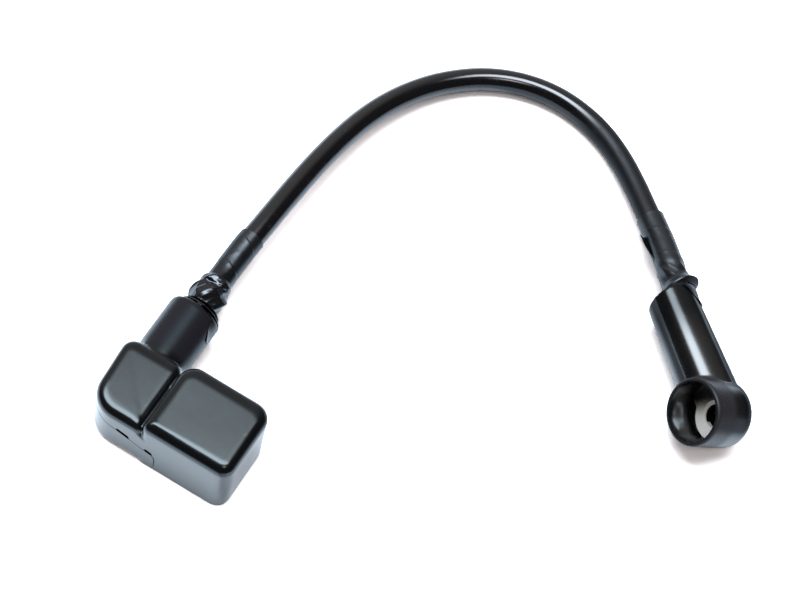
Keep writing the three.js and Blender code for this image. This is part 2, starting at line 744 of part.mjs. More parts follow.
function tapeSolid(from, length, sense, facing, radiusAt, stations) {
  const count = 24;
  const bore = CABLE_RADIUS + SLIDE_GAP;
  const rings = [];
  for (const share of stations) {
    const away = length * share;
    const frame = tapeFrame(from + sense * away, facing, away);
    rings.push(tapeRing(frame, (angle) => radiusAt(away, angle), count));
  }
  for (let k = 12; k >= 0; k -= 1) {
    const away = (length * k) / 12;
    const frame = tapeFrame(from + sense * away, facing, away);
    rings.push(tapeRing(frame, () => bore, count));
  }
  return loopedRings(rings);
}

// Gathered and twisted near the sleeve mouth, smooth and close to the cable further on.
function gathers(away, angle, strength) {
  const zone = Math.exp(-Math.pow((away - 9) / 7.5, 2));
  const lobes = 0.42 * Math.sin(3 * angle + 0.5 * away) + 0.3 * Math.sin(5 * angle - 0.62 * away);
  return strength * zone * (0.75 + lobes);
}

function windings(away, angle, pitch) {
  const turn = away / pitch - angle / (2 * Math.PI);
  return 0.22 * (turn - Math.floor(turn));
}

const tapeBase = CABLE_RADIUS + SLIDE_GAP + TAPE_BUILD;
const tapeStations = [0, 0.022, 0.045, 0.07, 0.1, 0.14, 0.18, 0.22, 0.26, 0.3, 0.34, 0.38, 0.43,
  0.48, 0.54, 0.6, 0.68, 0.76, 0.84, 0.92, 0.985, 1];
const mouthLeft = {
  point: new THREE.Vector3(sleeveX, sleeveMouthY, SLEEVE_HEIGHT),
  normal: new THREE.Vector3(0, 1, 0),
};
const tapeLeftFrom = crossing(mouthLeft, 2, 45);

function leftRadius(away, angle) {
  const flare = TAPE_FLARE * Math.exp(-Math.pow(away / 1.9, 4));
  const end = away > TAPE_LEFT_LENGTH - 0.2 ? -0.3 : 0;
  return tapeBase + flare + end + gathers(away, angle, 0.85) + windings(away, angle, 15);
}
addMesh('tape_wrap_post_end', tapeSolid(tapeLeftFrom, TAPE_LEFT_LENGTH, 1, mouthLeft,
  leftRadius, tapeStations), 0x17181b, 0.38, 0);

const mouthRight = {
  point: bootOrigin.clone().addScaledVector(along, -BOOT_SLEEVE_LENGTH),
  normal: along.clone().addScaledVector(beside, BOOT_SLANT / BOOT_SLEEVE_MOUTH_RADIUS)
    .normalize().negate(),
};
const tapeRightFrom = crossing(mouthRight, cableLength - 45, cableLength - 2);
function rightRadius(away, angle) {
  const lean = 0.5 - 0.5 * Math.cos(angle);
  const flare = (TAPE_FLARE - 0.9 + 1.2 * lean) * Math.exp(-Math.pow(away / 3.2, 4));
  const end = away > TAPE_RIGHT_LENGTH - 0.2 ? -0.3 : 0;
  return tapeBase + flare + end + gathers(away, angle, 0.9) + windings(away, angle, 15);
}
const tapeRight = tapeSolid(tapeRightFrom, TAPE_RIGHT_LENGTH, -1, mouthRight, rightRadius,
  tapeStations);

// Free end of the tape, standing off the cable on the inner side of the arc.
function flagRing(share) {
  const away = TAPE_RIGHT_LENGTH - 8 - 17 * share;
  const { centre, side, up } = tapeFrame(tapeRightFrom - away, mouthRight, away);
  const outward = side.clone().multiplyScalar(1);
  const reach = CABLE_RADIUS + SLIDE_GAP + 0.25;
  const tip = 5.2 - 2.2 * share;
  const ring = [];
  const rows = [[-0.4, -1.5], [-0.4, 3.4], [tip * 0.55, 4.6], [tip, 4.4], [tip, 3.8],
    [tip * 0.5, 3.7], [0.35, 2.5], [0.35, -1.5]];
  for (const [out, rise] of rows) {
    const point = centre.clone().addScaledVector(outward, reach + 0.4 + out);
    ring.push(point.addScaledVector(up, rise - 2.4));
  }
  return ring;
}
const flag = cappedRings([flagRing(0), flagRing(0.33), flagRing(0.66), flagRing(1)]);
addMesh('tape_wrap_ring_end', toGeometry(toManifold(tapeRight).add(toManifold(flag))), 0x17181b,
  0.38, 0);

// The finished part stands with the box of its end pieces centred over the origin.
const CORD_NAMES = ['cable_jacket'];
const span = new THREE.Box3();
group.children.forEach((mesh) => {
  if (!CORD_NAMES.includes(mesh.name)) {
    span.expandByObject(mesh);
  }
});
const middle = span.getCenter(new THREE.Vector3());
group.children.forEach((mesh) => {
  mesh.geometry.translate(-middle.x, -middle.y, -span.min.z);
});

export default group;
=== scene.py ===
"""Battery cable with a moulded terminal cover on one end and a ring terminal boot on the other.

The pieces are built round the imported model, which is the fixed frame. Lengths are in metres;
sizes written in millimetres carry the factor MM.
"""

import math

import bmesh
import bpy
import numpy as np
from mathutils import Matrix, Vector


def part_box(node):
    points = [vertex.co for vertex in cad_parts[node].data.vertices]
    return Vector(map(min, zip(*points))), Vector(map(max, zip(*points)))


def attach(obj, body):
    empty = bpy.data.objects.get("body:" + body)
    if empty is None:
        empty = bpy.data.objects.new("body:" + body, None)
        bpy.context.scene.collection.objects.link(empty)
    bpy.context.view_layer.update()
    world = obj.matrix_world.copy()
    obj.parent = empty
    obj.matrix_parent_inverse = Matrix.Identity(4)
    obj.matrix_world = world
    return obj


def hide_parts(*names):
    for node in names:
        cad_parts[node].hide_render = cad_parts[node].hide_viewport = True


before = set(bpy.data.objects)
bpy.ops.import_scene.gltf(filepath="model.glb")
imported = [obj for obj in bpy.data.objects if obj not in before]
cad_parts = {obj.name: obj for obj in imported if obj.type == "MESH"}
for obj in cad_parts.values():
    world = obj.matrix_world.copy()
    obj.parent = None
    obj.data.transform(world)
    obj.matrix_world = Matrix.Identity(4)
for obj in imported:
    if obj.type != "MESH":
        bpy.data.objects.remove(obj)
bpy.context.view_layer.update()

bl_info = {
    "name": "Battery Cable",
    "version": (1, 0, 0),
    "blender": (4, 5, 0),
    "location": "View3D > Sidebar > Battery Cable",
    "description": "Battery cable with moulded end covers and taped joints",
    "category": "Add Mesh",
}

MM = 0.001
WELD_GAP = 0.002 * MM
SHARP = math.radians(50)
COVER_LOW, COVER_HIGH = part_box("terminal_cover")

# Sizes that several pieces share, in millimetres and degrees

TALL_WIDTH = 42.2
FRONT = 17.7
SLEEVE_X = -34.1
SLEEVE_HEIGHT = 14
SLEEVE_RADIUS = 12
SLEEVE_END = 48.9
MOUTH_SLANT = 0.1
CABLE_RADIUS = 5.4
BOOT_END = 58
BOOT_END_RADIUS = 11.1
BOOT_SLANT = 2.4 / BOOT_END_RADIUS
BOOT_HEADING = 42
BOOT_TILT = 59.3


# Sizes and finishes


def size_prop(name, description, default):
    return bpy.props.FloatProperty(name=name, description=description, default=default,
                                   unit="LENGTH")


def colour_prop(name, description, default):
    return bpy.props.FloatVectorProperty(name=name, description=description, default=default,
                                         subtype="COLOR", size=3, min=0, max=1)


def gloss_prop(name, description, default):
    return bpy.props.FloatProperty(name=name, description=description, default=default,
                                   subtype="FACTOR", min=0, max=1)


class CoverSizes(bpy.types.PropertyGroup):
    """Sizes of the terminal cover."""

    tall_width: size_prop("Tall Box Width", "Width of the box over the post", TALL_WIDTH * MM)
    tall_front: size_prop("Tall Box Front", "From the post line to the front wall", FRONT * MM)
    tall_back: size_prop("Tall Box Back", "From the post line to the back wall", 19.6 * MM)
    tall_height: size_prop("Tall Box Height", "Height of the box over the post", COVER_HIGH.z)
    elbow_height: size_prop("Elbow Height", "Height of the elbow box", 27.5 * MM)
    wall: size_prop("Wall", "Wall of the moulding", 2.2 * MM)
    seam: size_prop("Seam", "Gap between the cover and its lower shell", 0.4 * MM)
    grain: size_prop("Mesh Step", "Size of a face on the smoothed moulding", 0.52 * MM)


class CableSizes(bpy.types.PropertyGroup):
    """Sizes of the cable and its tape."""

    diameter: size_prop("Cable Diameter", "Diameter over the jacket", 2 * CABLE_RADIUS * MM)
    tape_build: size_prop("Tape Build", "Thickness of the tape winding", 0.7 * MM)
    crumple: size_prop("Crumple", "Depth of the folds where the tape is gathered", 0.95 * MM)


class BootSizes(bpy.types.PropertyGroup):
    """Sizes of the ring terminal boot."""

    collar_radius: size_prop("Collar Radius", "Outside radius of the round collar", 15 * MM)
    collar_mouth: size_prop("Collar Mouth", "From the sleeve's axis to the mouth", 17.8 * MM)
    sleeve_length: size_prop("Sleeve Length", "From the collar's axis to its end", BOOT_END * MM)
    grain: size_prop("Mesh Step", "Size of a face on the smoothed moulding", 0.46 * MM)


class Finishes(bpy.types.PropertyGroup):
    """Colours and gloss."""

    cover_colour: colour_prop("Cover Colour", "Colour of the cover", (0.0022, 0.0024, 0.003))
    boot_colour: colour_prop("Boot Colour", "Colour of the boot", (0.0022, 0.0024, 0.0028))
    cable_colour: colour_prop("Cable Colour", "Colour of the cable jacket", (0.003, 0.003, 0.0036))
    tape_colour: colour_prop("Tape Colour", "Colour of the tape", (0.0032, 0.0033, 0.0038))
    tin_colour: colour_prop("Tin Colour", "Colour of the tin plated ring", (1.0, 0.985, 0.91))
    cover_gloss: gloss_prop("Cover Roughness", "Roughness of the terminal cover", 0.2)
    boot_gloss: gloss_prop("Boot Roughness", "Roughness of the boot", 0.11)
    cable_gloss: gloss_prop("Cable Roughness", "Roughness of the cable jacket", 0.15)
    tape_gloss: gloss_prop("Tape Roughness", "Roughness of the tape", 0.31)


def sizes_of(name):
    return getattr(bpy.context.scene, "battery_cable_" + name)


# Modelling helpers


def deselect():
    if bpy.context.mode != "OBJECT":
        bpy.ops.object.mode_set(mode="OBJECT")
    bpy.ops.object.select_all(action="DESELECT")


def activate(piece):
    deselect()
    piece.select_set(True)
    bpy.context.view_layer.objects.active = piece


def named(name):
    piece = bpy.context.object
    piece.name = name
    piece.data.name = name
    return piece


def settle(piece):
    """Puts a piece's place, turn and size into its mesh."""
    activate(piece)
    bpy.ops.object.transform_apply(location=True, rotation=True, scale=True)
    return piece


def edit(piece, action="SELECT", faces=False):
    """Opens a piece in edit mode with all of it selected, or none of it."""
    activate(piece)
    bpy.ops.object.mode_set(mode="EDIT")
    bpy.context.tool_settings.mesh_select_mode = (False, not faces, faces)
    bpy.ops.mesh.select_all(action=action)


def leave():
    bpy.ops.object.mode_set(mode="OBJECT")


def close_up():
    """Merges doubles and turns the faces outwards in edit mode, then leaves it."""
    bpy.ops.mesh.select_all(action="SELECT")
    bpy.ops.mesh.remove_doubles(threshold=1e-6)
    bpy.ops.mesh.normals_make_consistent(inside=False)
    leave()


def add_modifier(piece, kind, **settings):
    modifier = piece.modifiers.new(kind.title(), kind)
    for key, value in settings.items():
        setattr(modifier, key, value)
    return modifier


def modify(piece, kind, **settings):
    """Adds a modifier and applies it."""
    activate(piece)
    bpy.ops.object.modifier_apply(modifier=add_modifier(piece, kind, **settings).name)
    return piece


def cut(piece, tool, operation="DIFFERENCE"):
    """Applies a boolean with a tool and removes the tool."""
    modify(piece, "BOOLEAN", object=tool, operation=operation, solver="EXACT")
    bpy.data.objects.remove(tool)
    if not piece.data.polygons:
        raise RuntimeError(f"{piece.name} has no faces left after a boolean")
    return piece


def join(pieces, name):
    deselect()
    for piece in pieces:
        piece.select_set(True)
    bpy.context.view_layer.objects.active = pieces[0]
    bpy.ops.object.join()
    return named(name)


def from_points(name, points, edges=(), faces=()):
    mesh = bpy.data.meshes.new(name)
    mesh.from_pydata(points, edges, faces)
    piece = bpy.data.objects.new(name, mesh)
    bpy.context.scene.collection.objects.link(piece)
    return piece


def copy_of(piece, name):
    twin = piece.copy()
    twin.data = piece.data.copy()
    twin.name = name
    bpy.context.scene.collection.objects.link(twin)
    return twin


def smooth(piece, angle=35):
    activate(piece)
    bpy.ops.object.shade_smooth_by_angle(angle=math.radians(angle))
    return piece


def reshape(piece, move):
    """Moves all vertices of a piece by a function of an array of points."""
    mesh = piece.data
    points = np.empty(len(mesh.vertices) * 3)
    mesh.vertices.foreach_get("co", points)
    mesh.vertices.foreach_set("co", move(points.reshape(-1, 3)).ravel())
    mesh.update()
    return piece


def block(name, low, high):
    """A box between two corners."""
    low, high = Vector(low), Vector(high)
    bpy.ops.mesh.primitive_cube_add(size=1, location=(low + high) / 2, scale=high - low)
    return settle(named(name))


def round_edges(piece, radius, steps, test):
    """Rounds the edges whose two ends pass a test."""
    edit(piece, "DESELECT")
    shape = bmesh.from_edit_mesh(piece.data)
    for edge in shape.edges:
        edge.select_set(all(test(end.co) for end in edge.verts))
    bmesh.update_edit_mesh(piece.data)
    bpy.ops.mesh.bevel(offset=radius, segments=steps, profile=0.5, affect="EDGES",
                       clamp_overlap=False)
    leave()


def round_upright(piece, x, y, radius, steps=8):
    """Rounds the upright edge of a box that stands at x, y."""
    round_edges(piece, radius, steps, lambda p: abs(p.x - x) < 1e-5 and abs(p.y - y) < 1e-5)


def round_rim(piece, z, radius, steps=8):
    """Rounds the edges of a box at the height z."""
    round_edges(piece, radius, steps, lambda p: abs(p.z - z) < 1e-5)


def slice_at(piece, point, normal, drop_outer=False):
    """Cuts a piece by a plane, and closes it there if its outer part is dropped."""
    edit(piece)
    bpy.ops.mesh.bisect(plane_co=point, plane_no=normal, use_fill=drop_outer,
                        clear_outer=drop_outer)
    leave()


def spun(name, profile, steps=96, axis="Z"):
    """A closed body of revolution. The profile is pairs of radius and height in millimetres
    from end to end, and its first and last points are on the axis."""
    points = [(radius * MM, 0, height * MM) for radius, height in profile]
    piece = from_points(name, points, [(i, i + 1) for i in range(len(points) - 1)])
    edit(piece)
    bpy.ops.mesh.spin(steps=steps, angle=2 * math.pi, center=(0, 0, 0), axis=(0, 0, 1))
    close_up()
    turns = {"X": Matrix.Rotation(math.pi / 2, 4, "Y"), "Y": Matrix.Rotation(-math.pi / 2, 4, "X")}
    if axis in turns:
        piece.data.transform(turns[axis])
    return piece


def tube(name, rings, radius, around):
    """A closed round tube along a line of ring centres."""
    points = []
    up = Vector((0, 0, 1))
    for k, centre in enumerate(rings):
        along = (rings[min(k + 1, len(rings) - 1)] - rings[max(k - 1, 0)]).normalized()
        side = along.cross(up).normalized()
        rise = side.cross(along)
        for j in range(around):
            turn = 2 * math.pi * j / around
            points.append(centre + (side * math.cos(turn) + rise * math.sin(turn)) * radius)
    faces = []
    for k in range(len(rings) - 1):
        for j in range(around):
            a, b = k * around + j, k * around + (j + 1) % around
            faces.append((a, a + around, b + around, b))
    last = (len(rings) - 1) * around
    faces.append(tuple(range(around)))
    faces.append(tuple(last + j for j in reversed(range(around))))
    return smooth(from_points(name, points, faces=faces), 40)


def moulded(piece, step, rounds):
    """Melts overlapping bodies into one skin with soft inner corners."""
    modify(piece, "REMESH", mode="VOXEL", voxel_size=step, use_smooth_shade=True)
    modify(piece, "SMOOTH", factor=0.5, iterations=rounds)
    return piece


def finish_piece(piece, nodes, material):
    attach(piece, "root")
    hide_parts(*nodes)
    piece.data.materials.clear()
    piece.data.materials.append(material)


# Shader helpers


class Value:
    """A number in a shader. Arithmetic on it adds Math nodes."""

    def __init__(self, shader, socket):
        self.shader = shader
        self.socket = socket

    def _math(self, operation, *terms):
        made = self.shader.node("ShaderNodeMath", {"operation": operation}, dict(enumerate(terms)))
        return Value(self.shader, made.outputs[0])

    def __add__(self, other):
        return self._math("ADD", self, other)

    __radd__ = __add__

    def __mul__(self, other):
        return self._math("MULTIPLY", self, other)

    __rmul__ = __mul__

    def __sub__(self, other):
        return self._math("SUBTRACT", self, other)

    def __rsub__(self, other):
        return self._math("SUBTRACT", other, self)

    def __truediv__(self, other):
        return self._math("DIVIDE", self, other)

    def __rtruediv__(self, other):
        return self._math("DIVIDE", other, self)

    def size(self):
        return self._math("ABSOLUTE", self)

    def root(self):
        return self._math("SQRT", self)

    def largest(self, other):
        return self._math("MAXIMUM", self, other)

    def smallest(self, other):
        return self._math("MINIMUM", self, other)


class Shader:
    """The nodes of one material or world."""

    def __init__(self, tree):
        self.tree = tree
        tree.nodes.clear()

    def node(self, kind, settings=None, inputs=None):
        made = self.tree.nodes.new(kind)
        for key, value in (settings or {}).items():
            setattr(made, key, value)
        for key, value in (inputs or {}).items():
            self.feed(made.inputs[key], value)
        return made

    def feed(self, socket, value):
        if isinstance(value, Value):
            value = value.socket
        if isinstance(value, bpy.types.NodeSocket):
            self.tree.links.new(value, socket)
        elif value is not None:
            socket.default_value = value

    def vector(self, operation, *terms):
        return self.node("ShaderNodeVectorMath", {"operation": operation}, dict(enumerate(terms)))

    def place(self, scale=(1, 1, 1), turn=(0, 0, 0)):
        """Object coordinates, scaled and turned."""
        where = self.node("ShaderNodeTexCoord").outputs["Object"]
        return self.node("ShaderNodeMapping", None,
                         {"Vector": where, "Rotation": turn, "Scale": scale}).outputs[0]

    def part(self, place, origin, direction):
        """How far a place lies from an origin, along a direction."""
        away = self.vector("SUBTRACT", place, origin).outputs[0]
        return Value(self, self.vector("DOT_PRODUCT", away, direction).outputs["Value"])

    def distance(self, place, point=(0, 0, 0)):
        return Value(self, self.vector("DISTANCE", place, point).outputs["Value"])

    def rays(self, *kinds):
        """One for the kinds of rays that are named, and nought for others."""
        outputs = self.node("ShaderNodeLightPath").outputs
        first, *others = (Value(self, outputs[f"Is {kind} Ray"]) for kind in kinds)
        return sum(others, first).smallest(1)

    def noise(self, place, scale, detail=3, roughness=0.5, distortion=0):
        made = self.node("ShaderNodeTexNoise", None,
                         {"Vector": place, "Scale": scale, "Detail": detail,
                          "Roughness": roughness, "Distortion": distortion})
        return Value(self, made.outputs["Fac"])

    def span(self, value, low, high, to_low=0.0, to_high=1.0):
        """Maps low to high onto another range, softly and within it."""
        made = self.node("ShaderNodeMapRange", {"interpolation_type": "SMOOTHSTEP"},
                         {"Value": value, "From Min": low, "From Max": high,
                          "To Min": to_low, "To Max": to_high})
        return Value(self, made.outputs[0])

    def blend(self, share, first, second):
        return self.node("ShaderNodeMix", {"data_type": "RGBA"},
                         {"Factor": share, 6: first, 7: second}).outputs[2]

    def shades(self, value, gain, share):
        """A colour, times gain where share is one."""
        return self.blend(share, colour(value), colour(value, gain))

    def bump(self, height, distance, strength=1.0, normal=None):
        return self.node("ShaderNodeBump", None,
                         {"Height": height, "Distance": distance, "Strength": strength,
                          "Normal": normal}).outputs[0]

    def surface(self, **inputs):
        spelled = {key.replace("_", " "): value for key, value in inputs.items()}
        shader = self.node("ShaderNodeBsdfPrincipled", None, spelled)
        self.node("ShaderNodeOutputMaterial", None, {"Surface": shader.outputs[0]})


def shader_of(name):
    """A new material, its shader and the place on the piece."""
    material = bpy.data.materials.new(name)
    material.use_nodes = True
    shader = Shader(material.node_tree)
    return material, shader, shader.place()


def colour(value, share=1.0):
    return (*(part * share for part in value), 1)


def from_boot(shader, place, *directions):
    """How far a place lies from the boot's origin along directions."""
    return [shader.part(place, BOOT_PLACE, direction) for direction in directions]


def cover_plastic():
    """Satin plastic with a fine moulded grain and faint handling marks, dull on the sleeve, which
    has a painted sheen of paler colour.
    """
    finish = sizes_of("finish")
    material, shader, place = shader_of("cover_plastic")
    marks = shader.noise(place, 38, 5, 0.62)
    grain = shader.noise(place, 2600, 2, 0.5)
    waves = shader.noise(place, 55, 2, 0.4)
    sleeve = shader.span(shader.part(place, COVER_PLACE, (0, 1, 0)), 18 * MM, 24 * MM)
    roughness = finish.cover_gloss + 0.09 * (marks - 0.5) + 0.03 * (grain - 0.5) + 0.06 * sleeve
    tone = shader.shades(finish.cover_colour, 1.7, shader.span(marks, 0.45, 0.75))
    # Painted sheen: the sleeve is painted a paler grey than the rest of the cover.
    tone = shader.blend(sleeve, tone, (0.013, 0.0115, 0.015, 1))
    normal = shader.bump(grain, 0.02 * MM, 0.5)
    normal = shader.bump(waves, 0.16 * MM, 0.5, normal)
    shader.surface(Base_Color=tone, Roughness=roughness, IOR=1.36, Normal=normal,
                   Specular_Tint=(0.66, 0.93, 1.0, 1), Coat_Weight=1 - sleeve, Coat_IOR=1.39,
                   Coat_Roughness=finish.cover_gloss)
    return material


def boot_plastic():
    """Glossy dipped plastic with slight flow marks along it, dull on the collar's lip and side,
    and with a painted sheen of paler pinkish grey on the collar's side.

    The bowl is a shallow hollow in the collar's inner wall, which catches the light."""
    finish = sizes_of("finish")
    material, shader, place = shader_of("boot_plastic")
    turned = (0, 0, math.radians(BOOT_HEADING))
    flow = shader.noise(shader.place((24, 160, 160), turned), 1, 2, 0.5)
    haze = shader.noise(place, 60, 5, 0.65)
    specks = shader.noise(place, 900, 2, 0.5)
    along, across, beside, out = from_boot(shader, place, ALONG, ACROSS, BESIDE, MOUTH)
    radius = (along * along + beside * beside).root()
    lip = shader.span(out, 16.2 * MM, 17.2 * MM)
    side = (shader.span(radius, 14 * MM, 14.6 * MM) * shader.span(radius, 16.6 * MM, 15.6 * MM)
            * shader.span(out, 3 * MM, 8 * MM))
    within = shader.span(radius, 14.3 * MM, 13.9 * MM)
    inner = within * shader.span(out, 1 * MM, 3 * MM)
    bowl = (within * shader.span(-0.4 * along - 0.917 * beside, 9 * MM, 13.2 * MM)
            * shader.span(out, 17 * MM, 5 * MM))
    glossy = (shader.span(along, -50 * MM, -28 * MM, 0.1, 1) * (1 - lip) * (1 - 0.8 * side)
              * shader.span(across, 9 * MM, 4 * MM, 0.15, 1) * (1 - 0.3 * inner))
    roughness = (finish.boot_gloss + 0.12 * (haze - 0.45) + 0.05 * shader.span(specks, 0.62, 0.75)
                 + 0.2 * lip + 0.16 * side + 0.12 * inner)
    tone = shader.shades(finish.boot_colour, 1.8, shader.span(haze, 0.4, 0.7))
    # Painted sheen: the collar's side is painted a paler pinkish grey.
    tone = shader.blend(side, tone, (0.021, 0.0185, 0.022, 1))
    normal = shader.bump(flow, 0.1 * MM, 0.5)
    normal = shader.bump(specks, 0.006 * MM, 0.5, normal)
    normal = shader.bump(bowl, 8 * MM, 1.0, normal)
    shader.surface(Base_Color=tone, Roughness=roughness, IOR=1.46, Normal=normal,
                   Specular_Tint=(0.86, 0.97, 1.0, 1), Coat_Weight=glossy, Coat_IOR=1.62,
                   Coat_Roughness=finish.boot_gloss + 0.09)
    return material


def cable_plastic():
    """Glossy extruded jacket, very slightly uneven, with scuffs, dull towards the boot."""
    finish = sizes_of("finish")
    material, shader, place = shader_of("cable_plastic")
    sway = shader.noise(place, 70, 2, 0.45)
    scuffs = shader.noise(shader.place((300, 300, 900)), 1, 4, 0.6)
    fine = shader.noise(place, 1500, 2, 0.5)
    worn = shader.span(scuffs, 0.58, 0.72)
    dull = shader.span(shader.part(place, (0, 0, 0), (1, 0, 0)), -26 * MM, -4 * MM)
    roughness = finish.cable_gloss + 0.16 * worn + 0.05 * (fine - 0.5) + 0.3 * dull
    tone = shader.shades(finish.cable_colour, 2.4, worn)
    normal = shader.bump(sway, 0.35 * MM, 0.45)
    normal = shader.bump(fine, 0.006 * MM, 0.5, normal)
    shader.surface(Base_Color=tone, Roughness=roughness, IOR=1.46, Normal=normal,
                   Specular_Tint=(0.85, 0.92, 1.0, 1), Coat_Weight=1 - dull, Coat_IOR=1.55,
                   Coat_Roughness=finish.cable_gloss)
    return material


def tape_plastic():
    """Stretched vinyl tape with fine lines and small creases, glossier where it is gathered."""
    finish = sizes_of("finish")
    material, shader, place = shader_of("tape_plastic")
    stretch = shader.noise(shader.place((260, 900, 900), (0, 0, math.radians(35))), 1, 3, 0.55)
    crease = shader.noise(place, 260, 3, 0.5, 0.8)
    patches = shader.noise(place, 90, 3, 0.5)
    knot = COVER_PLACE + Vector((-34, 57, 15)) * MM
    gathered = shader.span(shader.distance(place, knot), 20 * MM, 13 * MM)
    roughness = (finish.tape_gloss + 0.14 * (patches - 0.5) + 0.1 * (stretch - 0.5)
                 - 0.13 * gathered)
    tone = shader.shades(finish.tape_colour, 1.6, patches)
    normal = shader.bump(crease, 0.05 * MM, 0.5)
    normal = shader.bump(stretch, 0.03 * MM, 0.5, normal)
    shader.surface(Base_Color=tone, Roughness=roughness, IOR=1.75, Normal=normal,
                   Specular_Tint=(0.82, 0.92, 1.0, 1))
    return material


def metal(name, tint, roughness, grain_scale, grain_depth, stain=0.15):
    """Plated or cast metal with a fine grain and dull patches."""
    material, shader, place = shader_of(name)
    grain = shader.noise(place, grain_scale, 3, 0.55)
    dull = shader.noise(place, 140, 4, 0.6)
    rough = roughness + stain * (dull - 0.4) + 0.06 * (grain - 0.5)
    tone = shader.shades(tint, 0.72, shader.span(dull, 0.35, 0.8))
    normal = shader.bump(grain, grain_depth, 0.6)
    shader.surface(Base_Color=tone, Roughness=rough, Metallic=1.0, Normal=normal)
    return material


def tin_plate():
    """Satin tin, painted bright on the side that the light reaches and with a painted highlight at
    the edge of its hole, and painted near black in the collar's shade and inside the hole.
    """
    finish = sizes_of("finish")
    material, shader, place = shader_of("tin_plate")
    dull = shader.noise(place, 140, 4, 0.6)
    grain = shader.noise(place, 700, 3, 0.55)
    along, beside, out = from_boot(shader, place, ALONG, BESIDE, MOUTH)
    # Painted light and shade: bright where the light reaches the ring, near black where the collar
    # shades it.
    painted_lit_side = shader.span(0.9 * along - 0.45 * beside + 3 * MM * (dull - 0.5), -7.5 * MM, 0.5 * MM)
    radius = (along * along + beside * beside).root()
    # Painted highlight at the edge of the hole, and painted shade inside the hole.
    edge = shader.span(radius, 5.75 * MM, 5.6 * MM) * shader.span(out, 2.45 * MM, 2.6 * MM)
    hole = shader.span(radius, 5.5 * MM, 5.3 * MM) * shader.span(out, 2.8 * MM, 2.4 * MM)
    tone = shader.blend(painted_lit_side.largest(edge) * (1 - hole), colour(finish.tin_colour, 0.02),
                        colour(finish.tin_colour))
    shader.surface(Base_Color=tone, Roughness=0.42 + 0.1 * (dull - 0.5), Metallic=0.12,
                   Normal=shader.bump(grain, 0.012 * MM, 0.6))
    return material


def copper_strands():
    """Bare copper with the lay of its strands."""
    material, shader, place = shader_of("copper_strands")
    wave = shader.node("ShaderNodeTexWave", {"wave_type": "BANDS", "bands_direction": "DIAGONAL"},
                       {"Vector": place, "Scale": 420, "Distortion": 0.6})
    lay = Value(shader, wave.outputs["Fac"])
    tone = shader.blend(lay, (0.42, 0.19, 0.1, 1), (0.78, 0.43, 0.27, 1))
    shader.surface(Base_Color=tone, Roughness=0.34, Metallic=1.0,
                   Normal=shader.bump(lay, 0.25 * MM, 0.7))
    return material


# Places of the cover and the boot, and the cable's route

COVER_PLACE = Vector((COVER_HIGH.x - TALL_WIDTH / 2 * MM, COVER_LOW.y + FRONT * MM, 0))
HEADING, TILT = math.radians(BOOT_HEADING), math.radians(BOOT_TILT)
ALONG = Vector((math.cos(HEADING), -math.sin(HEADING), 0))
ACROSS = Vector((math.sin(HEADING), math.cos(HEADING), 0))
MOUTH = -math.sin(TILT) * ACROSS + Vector((0, 0, math.cos(TILT)))
BESIDE = MOUTH.cross(ALONG)
BOOT_PLACE = Vector((106.28, 36.45, 14.943)) * MM
BOOT_FRAME = Matrix.Translation(BOOT_PLACE) @ Matrix((ALONG, BESIDE, MOUTH)).transposed().to_4x4()


def route_points():
    """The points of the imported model's jacket, from cover to boot. On its free stretch the
    third number is the room under the cable."""
    in_cover = [(SLEEVE_X, 28.5, 14.0), (SLEEVE_X, 41.4, 14.0), (SLEEVE_X, 57.4, 14.1)]
    free = [(-34.1, 73.4, 8.8), (-33.8, 86.5, 9.3), (-32.9, 99.6, 9.7), (-32.1, 114.2, 9.8),
            (-31.2, 129.7, 9.4), (-30.0, 145.3, 8.5), (-28.2, 160.9, 7.2), (-25.6, 176.0, 5.5),
            (-21.6, 190.4, 3.9), (-16.2, 203.3, 2.5), (-9.6, 214.6, 1.4), (-1.6, 224.4, 0.7),
            (7.6, 232.6, 0.4), (18.3, 239.0, 0.2), (30.2, 243.1, 0.15), (43.3, 244.6, 0.15),
            (56.9, 243.0, 0.2), (70.6, 238.3, 0.5), (83.2, 230.8, 1.2), (94.9, 221.3, 2.5),
            (105.5, 211.3, 4.3), (114.9, 202.3, 6.2), (122.3, 194.6, 7.9)]
    points = [Vector(p) * MM + COVER_PLACE for p in in_cover]
    points += [Vector((x, y, under + CABLE_RADIUS)) * MM + COVER_PLACE for x, y, under in free]
    for back, off in ((BOOT_END + 11, 5.2), (BOOT_END, 3.1), (BOOT_END - 12, 1.0), (40.5, 0.05),
                      (36.5, 0)):
        points.append(BOOT_PLACE - ALONG * back * MM + ACROSS * off * MM)
    return points


def route_handles(points):
    """Slopes at both ends of each stretch, for a curve that spaces itself by its points."""
    ends = [2 * points[0] - points[1], *points, 2 * points[-1] - points[-2]]
    stretches = []
    for a, b, c, d in zip(ends, ends[1:], ends[2:], ends[3:]):
        first, second, third = ((q - p).length ** 0.5 for p, q in ((a, b), (b, c), (c, d)))
        leaving = (b - a) / first - (c - a) / (first + second) + (c - b) / second
        arriving = (c - b) / second - (d - b) / (second + third) + (d - c) / third
        stretches.append((leaving * second, arriving * second))
    return stretches


